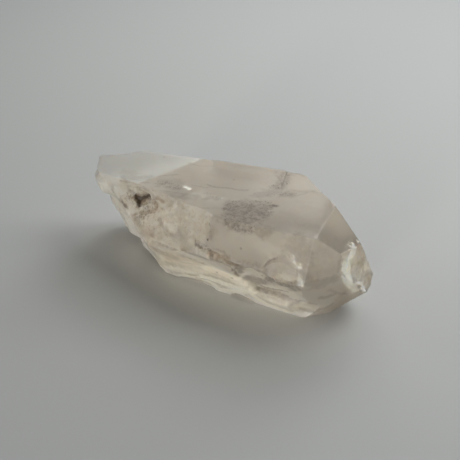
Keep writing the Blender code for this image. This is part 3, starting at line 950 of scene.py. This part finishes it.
def weather(places, triangles, planes, marks):
    """Round and roughen the carved breaks, wear the corners and cut the marks."""
    low, high = places.min(axis=0), places.max(axis=0)
    ends, _ = triangle_edges(triangles)
    near, second = off_flats(places, planes)
    broken = smooth_step(OFF_FLAT, FULL_BREAK, near)
    share, times = ROUND_BREAKS
    places = soften(places, ends, broken * share, times)
    normals = outward(places, triangles)
    calm = broken * mark_weights(places, marks["calm"], CALM_SEED)
    share, times = ROUND_CALM
    places = soften(places, ends, calm * share, times)
    worn = {name: marks["calm"][name] for name in WORN}
    share, times = ROUND_WORN
    places = soften(places, ends, broken * mark_weights(places, worn, CALM_SEED) * share, times)
    roughen(places, normals, near, broken, calm)
    wear_corners(places, normals, near, second)
    swell(places, broken)
    cut_marks(places, normals, marks)
    at_corner = (1.0 - smooth_step(0.0, ROUND_REACH, second)) * (near < ROUND_NEAR)
    share, times = ROUND_RELIEF
    places = soften(places, ends, at_corner * ROUND_CORNERS + broken * share, times)
    places = unfold(places, triangles, ends)
    return np.clip(places, low, high), broken


def to_bmesh(places, triangles):
    """A bmesh of the given places and triangles."""
    mesh = bpy.data.meshes.new("passing")
    mesh.from_pydata(places, [], triangles)
    bm = bmesh.new()
    bm.from_mesh(mesh)
    bpy.data.meshes.remove(mesh)
    return bm


def from_bmesh(bm):
    """Places and triangles of a bmesh, which is let go."""
    bm.verts.index_update()
    places = np.array([vert.co[:] for vert in bm.verts])
    triangles = np.array([[vert.index for vert in face.verts] for face in bm.faces])
    bm.free()
    return places, triangles


def can_close(gone, keep):
    """Whether a point can be drawn onto its neighbour without folding the surface."""
    for face in gone.link_faces:
        if keep in face.verts:
            continue
        a, b, c = (keep.co if vert is gone else vert.co for vert in face.verts)
        after = (b - a).cross(c - a)
        if after.length < 1e-6:
            return False
        if face.calc_area() > 1e-4 and after.normalized().dot(face.normal) < 0.5:
            return False
    return True


def on_flats(places, planes):
    """Which flats each point lies on, one bit for each."""
    _, directions, reaches = planes
    on = np.abs(places @ directions.T - reaches) < ON_FLAT
    return on @ (1 << np.arange(len(reaches)))


def close_short(bm, shortest, planes):
    """Draw the ends of short edges together; no point leaves a flat it lies on."""
    for _ in range(CLOSING_ROUNDS):
        bm.normal_update()
        bm.verts.index_update()
        flats = on_flats(np.array([vert.co[:] for vert in bm.verts]), planes)
        rank = {v: (int(flats[v.index]).bit_count(),
                    sum(min(e.calc_face_angle(0.0), 0.7) for e in v.link_edges))
                for v in bm.verts}
        targets, busy = {}, set()
        short = [(edge.calc_length(), edge.index, edge) for edge in bm.edges]
        for _, _, edge in sorted(item for item in short if item[0] < shortest):
            keep, gone = sorted(edge.verts, key=rank.get, reverse=True)
            if keep in busy or gone in busy or flats[gone.index] & ~flats[keep.index]:
                continue
            by_keep = {e.other_vert(keep) for e in keep.link_edges}
            by_gone = {e.other_vert(gone) for e in gone.link_edges}
            if len(by_keep & by_gone) != 2 or not can_close(gone, keep):
                continue
            targets[gone] = keep
            busy |= by_keep | by_gone
        if not targets:
            break
        bmesh.ops.weld_verts(bm, targetmap=targets)


def can_turn(edge, flats):
    """Whether an edge may be turned: it is nearly flat, and level where both ends share a flat."""
    angle = edge.calc_face_angle(1.0)
    shared = flats[edge.verts[0].index] & flats[edge.verts[1].index]
    return angle < FLAT_ANGLE and not (shared and angle > LEVEL_ANGLE)


def carved_body(node, planes):
    """Places and triangles of the carved crystal, closed and even, in millimetres."""
    bm = bmesh.new()
    bm.from_mesh(node.data)
    bmesh.ops.remove_doubles(bm, verts=bm.verts, dist=1e-6)
    bmesh.ops.triangulate(bm, faces=bm.faces)
    bmesh.ops.scale(bm, vec=(1 / MM, 1 / MM, 1 / MM), verts=bm.verts)
    close_short(bm, EVENING[0][1], planes)
    for longest, shortest in EVENING:
        places, triangles = from_bmesh(bm)
        triangles_before = 0
        while len(triangles) != triangles_before:
            triangles_before = len(triangles)
            places, triangles = split_once(places, triangles, lambda points: longest)
        bm = to_bmesh(places, triangles)
        close_short(bm, shortest, planes)
        bm.verts.index_update()
        flats = on_flats(np.array([vert.co[:] for vert in bm.verts]), planes)
        turning = [edge for edge in bm.edges if can_turn(edge, flats)]
        bmesh.ops.beautify_fill(bm, faces=bm.faces, edges=turning, method="ANGLE")
    return from_bmesh(bm)


def write_attribute(mesh, name, values):
    """Keep one number for each point of the mesh."""
    layer = mesh.attributes.new(name, "FLOAT", "POINT")
    layer.data.foreach_set("value", np.asarray(values, dtype=np.float32))


def write_growth(mesh, places, triangles, planes, marks, broken):
    """Keep the marks, the breaks and the bevel that takes a painted sheen with the mesh, for its
    material.
    """
    for seed, (name, kind) in enumerate(marks.items(), start=MARK_SEED):
        write_attribute(mesh, name, mark_weights(places, kind, seed))
    write_attribute(mesh, "broken", broken)
    ends, _ = triangle_edges(triangles)
    share, times = SPREAD_BREAKS
    around = soften(broken[:, None], ends, np.full(len(broken), share), times)[:, 0]
    write_attribute(mesh, "around_breaks", around)
    names, directions, reaches = planes
    gaps = np.abs(places @ directions.T - reaches)
    bevel, top = names.index("root_bevel"), names.index("top")
    on_bevel = smooth_step(-0.01, 0.01, gaps[:, top] - gaps[:, bevel])
    # The root bevel, which takes the painted sheen.
    write_attribute(mesh, "sheen_bevel", on_bevel * (gaps[:, bevel] < NEAR_FLAT))


def fine_body(node):
    """A closed, finely weathered copy of the carved crystal, with its marks."""
    planes = flat_planes()
    marks = placed_marks(node)
    places, triangles = carved_body(node, planes)
    for _ in range(SPLITTING_ROUNDS):
        places, triangles = split_once(
            places, triangles, lambda points: edge_limit(points, planes, marks))
    worn, broken = weather(places, triangles, planes, marks)
    mesh = bpy.data.meshes.new("crystal")
    mesh.from_pydata(worn * MM, [], triangles)
    write_growth(mesh, places, triangles, planes, marks, broken)
    mesh.shade_smooth()
    mesh.set_sharp_from_angle(angle=SHARP_ANGLE)
    body = bpy.data.objects.new("crystal", mesh)
    bpy.context.scene.collection.objects.link(body)
    return body


class Finish:
    """A node tree, written line by line."""

    def __init__(self, name):
        self.material = bpy.data.materials.new(name)
        self.material.use_nodes = True
        self.tree = self.material.node_tree
        self.shader = self.tree.nodes["Principled BSDF"]

    def node(self, kind, settings=None, **inputs):
        """A new node, with its settings and what feeds its inputs."""
        made = self.tree.nodes.new(kind)
        for key, value in (settings or {}).items():
            setattr(made, key, value)
        for key, value in inputs.items():
            self.feed(made, key.replace("_", " "), value)
        return made

    def feed(self, node, key, value):
        """Link or set an input, which is given by its name or its number."""
        socket = node.inputs[int(key)] if key.isdigit() else node.inputs[key]
        if isinstance(value, bpy.types.NodeSocket):
            self.tree.links.new(value, socket)
        else:
            socket.default_value = value

    def math(self, operation, first, second, clamp=False):
        """The result of a sum on two values."""
        made = self.node("ShaderNodeMath", {"operation": operation, "use_clamp": clamp})
        self.feed(made, "0", first)
        self.feed(made, "1", second)
        return made.outputs[0]

    def most(self, *values):
        """The largest of some values."""
        largest = values[0]
        for value in values[1:]:
            largest = self.math("MAXIMUM", largest, value)
        return largest

    def times(self, *values):
        """The product of some values."""
        product = values[0]
        for value in values[1:]:
            product = self.math("MULTIPLY", product, value)
        return product

    def rest_of(self, value, whole=1.0):
        """What a value leaves of the whole, and never less than nothing."""
        return self.math("SUBTRACT", whole, value, clamp=True)

    def attribute(self, name):
        """A number kept with the mesh."""
        return self.node("ShaderNodeAttribute", {"attribute_name": name}).outputs["Fac"]

    def spread(self, value, low, high, to_low=0.0, to_high=1.0):
        """An easy rise from one range to another."""
        made = self.node("ShaderNodeMapRange", {"interpolation_type": "SMOOTHSTEP"})
        for key, number in (("Value", value), ("From Min", low), ("From Max", high),
                            ("To Min", to_low), ("To Max", to_high)):
            self.feed(made, key, number)
        return made.outputs["Result"]

    def cloud(self, vector, scale, detail, roughness, distortion):
        """A cloudy pattern."""
        return self.node("ShaderNodeTexNoise", None, Vector=vector, Scale=scale, Detail=detail,
                         Roughness=roughness, Distortion=distortion).outputs["Fac"]

    def blend(self, share, first, second):
        """The first colour, with a share of the second."""
        made = self.node("ShaderNodeMix", {"data_type": "RGBA"})
        self.feed(made, "0", share)
        self.feed(made, "6", first)
        self.feed(made, "7", second)
        return made.outputs[2]


def patterns(f):
    """Clouds, streaks, patches and dots on the crystal, by name."""
    place = f.node("ShaderNodeTexCoord").outputs["Object"]
    even = f.node("ShaderNodeMapping", None, Vector=place,
                  Scale=(1 / MM, 1 / MM, 1 / MM)).outputs["Vector"]
    drawn = f.node("ShaderNodeMapping", None, Vector=place, Rotation=STREAK_TURN,
                   Scale=(STREAK_SCALE / MM, 1 / MM, 1 / MM)).outputs["Vector"]
    made = {name: f.cloud(even, *cloud) for name, cloud in CLOUDS.items()}
    made |= {name: f.cloud(drawn, *streak) for name, streak in STREAKS.items()}
    warp = f.node("ShaderNodeTexNoise", None, Vector=even, Scale=BEND_SCALE, Detail=2.0)
    bent = f.node("ShaderNodeVectorMath", {"operation": "MULTIPLY_ADD"})
    f.feed(bent, "0", warp.outputs["Color"])
    f.feed(bent, "1", (PATCH_BEND, PATCH_BEND, PATCH_BEND))
    f.feed(bent, "2", even)
    cells = f.node("ShaderNodeTexVoronoi", None, Vector=bent.outputs["Vector"], Scale=PATCH_SCALE)
    patch = f.node("ShaderNodeSeparateColor", None, Color=cells.outputs["Color"]).outputs
    made |= {"patch_a": patch["Red"], "patch_b": patch["Green"], "patch_c": patch["Blue"]}
    dots = f.node("ShaderNodeTexVoronoi", None, Vector=even, Scale=DOT_SCALE)
    return made | {"dots": dots.outputs["Distance"]}


def strengths(f, p):
    """How strong each growth, stain, painted shade, painted sheen, painted glow and painted
    highlight is, by name.
    """
    fleck, lines, wisps = p["fleck"], p["lines"], p["wisps"]
    around, smoke_and_shade = f.attribute("around_breaks"), f.attribute("smoke_and_shade")
    crumbling = f.times(around, f.rest_of(f.attribute("calm")),
                        f.spread(fleck, 0.36, 0.6, 0.15, 1.0))
    # Milky veils, and the veils that are painted light.
    milk = f.most(
        f.times(f.attribute("veil_and_sheen"), f.spread(wisps, 0.3, 0.62, 0.5, 1.0)),
        f.times(f.spread(wisps, 0.5, 0.75), 0.16),
    )
    broken_milk = f.times(around, f.spread(p["patch_c"], 0.2, 1.0, 0.35, 0.75))
    milk = f.math("ADD", milk, f.times(broken_milk, f.math("SUBTRACT", 1.0, milk)))
    blots = f.most(f.spread(p["sand"], 0.44, 0.62), f.spread(p["dots"], 0.36, 0.18))
    # Painted sparkles: white spots in the dot pattern.
    painted_sparkles = f.times(f.attribute("painted_sparkle"), f.spread(p["dots"], 0.38, 0.30))
    return {
        "around": around,
        "crumbs": f.times(f.spread(p["sand"], 0.48, 0.62), crumbling),
        "milk": milk,
        # Painted sheen on the root bevel.
        "painted_sheen": f.times(f.attribute("sheen_bevel"), f.spread(lines, 0.35, 0.7, 0.6, 0.8)),
        "dense": f.attribute("dense"),
        # Painted glow, mottled.
        "painted_glow_share": f.times(f.attribute("painted_glow"), f.spread(fleck, 0.3, 0.6, 0.75, 1.0)),
        "rusty": f.times(f.attribute("rust"), f.spread(fleck, 0.3, 0.65, 0.6, 1.0)),
        # Dark glass and painted shade.
        "smoky_and_shaded": f.times(smoke_and_shade, f.spread(fleck, 0.3, 0.6, 0.65, 1.0)),
        # The darkest marks: dark dots, and painted shade in the cavity and the pit.
        "darkest": f.spread(smoke_and_shade, 0.85, 1.0),
        "grains": f.times(f.spread(f.attribute("speck"), 0.1, 0.9), blots,
                          f.spread(fleck, 0.38, 0.62, 0.3, 1.0)),
        # Painted highlights and sparkles, white and less see-through.
        "painted_highlight": f.most(f.attribute("painted_glint"), painted_sparkles),
    }


def quartz_colour(f, p, s):
    """Clear glass with streaks, patches and crumbs, and then milk and the other tints."""
    colour = f.blend(f.spread(p["haze"], 0.35, 0.65), CLEAR_WARM, CLEAR_COOL)
    colour = f.blend(f.spread(p["lines"], 0.4, 0.75, 0.0, 0.10), colour, STREAK)
    ochre = f.times(f.spread(p["patch_a"], 0.1, 0.9), s["around"], 0.65)
    colour = f.blend(ochre, colour, PATCH_OCHRE)
    rose = f.times(f.spread(p["patch_b"], 0.2, 0.9), s["around"], 0.5)
    colour = f.blend(rose, colour, PATCH_ROSE)
    colour = f.blend(f.times(s["crumbs"], 0.5), colour, CRUMB)
    milky = f.times(s["milk"], f.spread(s["crumbs"], 0.0, 1.0, 1.0, 0.45))
    colour = f.blend(milky, colour, MILK)
    for name, share, tint in TINTS:
        colour = f.blend(f.times(s[name], share), colour, tint)
    return colour


def quartz():
    """Milky see-through quartz: clear glass with veils, rust and dark grains, and painted sheen,
    glow, shade and highlights.
    """
    f = Finish("milky_quartz")
    p = patterns(f)
    s = strengths(f, p)
    broken = f.attribute("broken")
    clouded = f.most(f.spread(s["painted_highlight"], 0.0, 0.4),
                     *(f.times(s[name], share) for name, share in CLOUDING.items()))
    satin = f.spread(p["lines"], 0.3, 0.7, 0.33, 0.42)
    satin = f.math("ADD", satin, f.times(broken, 0.06))
    satin = f.math("SUBTRACT", satin, f.spread(s["painted_highlight"], 0.6, 1.0, 0.0, 0.3), clamp=True)
    grit = f.times(p["grit"], broken, GRIT_HEIGHT)
    scored = f.times(p["lines"], f.math("SUBTRACT", 1.0, broken), SCORE_HEIGHT)
    bump = f.node("ShaderNodeBump", None, Strength=1.0, Distance=MM,
                  Height=f.math("ADD", grit, scored))

    shader = f.shader
    f.feed(shader, "Base Color", quartz_colour(f, p, s))
    f.feed(shader, "Roughness", satin)
    f.feed(shader, "Transmission Weight", f.rest_of(clouded, CLEAREST))
    f.feed(shader, "Normal", bump.outputs["Normal"])
    shader.inputs["IOR"].default_value = QUARTZ_IOR
    shader.inputs["Subsurface Weight"].default_value = 1.0
    shader.inputs["Subsurface Radius"].default_value = SCATTER_RADIUS
    shader.inputs["Subsurface Scale"].default_value = SCATTER_SCALE
    absorb = f.node("ShaderNodeVolumeAbsorption")
    absorb.inputs["Color"].default_value = ABSORPTION
    absorb.inputs["Density"].default_value = ABSORPTION_DENSITY
    f.tree.links.new(absorb.outputs["Volume"], f.tree.nodes["Material Output"].inputs["Volume"])
    return f.material


def look_from():
    """The camera that sees the crystal."""
    eye, right, up, back, _ = sight()
    lens = bpy.data.cameras.new("lens")
    lens.sensor_width = SENSOR
    lens.lens = SENSOR / 2 / math.tan(FIELD / 2)
    lens.clip_start = 0.01
    camera = bpy.data.objects.new("camera", lens)
    turn = Matrix((right, up, back)).transposed().to_4x4()
    camera.matrix_world = Matrix.Translation(eye) @ turn
    bpy.context.scene.collection.objects.link(camera)
    bpy.context.scene.camera = camera


def lamp(name, place, aim, size, power, colour):
    """A soft panel of light."""
    panel = bpy.data.lights.new(name, "AREA")
    panel.shape = "DISK"
    panel.size = size
    panel.energy = power
    panel.color = colour
    holder = bpy.data.objects.new(name, panel)
    holder.location = place
    aimed = (Vector(aim) - Vector(place)).to_track_quat("-Z", "Y")
    holder.rotation_mode = "QUATERNION"
    holder.rotation_quaternion = aimed
    bpy.context.scene.collection.objects.link(holder)


def studio():
    """A plain pale floor and soft light."""
    bm = bmesh.new()
    bmesh.ops.create_grid(bm, x_segments=1, y_segments=1, size=FLOOR_SIZE)
    mesh = bpy.data.meshes.new("floor")
    bm.to_mesh(mesh)
    bm.free()
    floor = bpy.data.objects.new("floor", mesh)
    floor.location = (0.0, 0.0, -FLOOR_GAP)
    bpy.context.scene.collection.objects.link(floor)
    material = bpy.data.materials.new("pale_floor")
    material.use_nodes = True
    shader = material.node_tree.nodes["Principled BSDF"]
    shader.inputs["Base Color"].default_value = FLOOR_COLOUR
    shader.inputs["Roughness"].default_value = FLOOR_ROUGHNESS
    mesh.materials.append(material)
    for name, settings in LAMPS.items():
        lamp(name, *settings)
    world = bpy.data.worlds.new("room")
    world.use_nodes = True
    sky = world.node_tree.nodes["Background"]
    sky.inputs["Color"].default_value = SKY_COLOUR
    sky.inputs["Strength"].default_value = SKY_STRENGTH
    bpy.context.scene.world = world
    bpy.context.scene.view_settings.view_transform = "Standard"


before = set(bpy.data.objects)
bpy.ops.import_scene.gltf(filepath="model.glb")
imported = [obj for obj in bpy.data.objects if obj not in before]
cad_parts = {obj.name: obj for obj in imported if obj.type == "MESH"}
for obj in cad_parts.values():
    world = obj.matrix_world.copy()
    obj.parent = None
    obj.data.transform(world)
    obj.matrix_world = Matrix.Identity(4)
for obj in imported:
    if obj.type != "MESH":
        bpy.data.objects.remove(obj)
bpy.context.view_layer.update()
look_from()
studio()
crystal = fine_body(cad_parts[NODE])
crystal.data.materials.append(quartz())
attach(crystal, "root")
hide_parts(NODE)
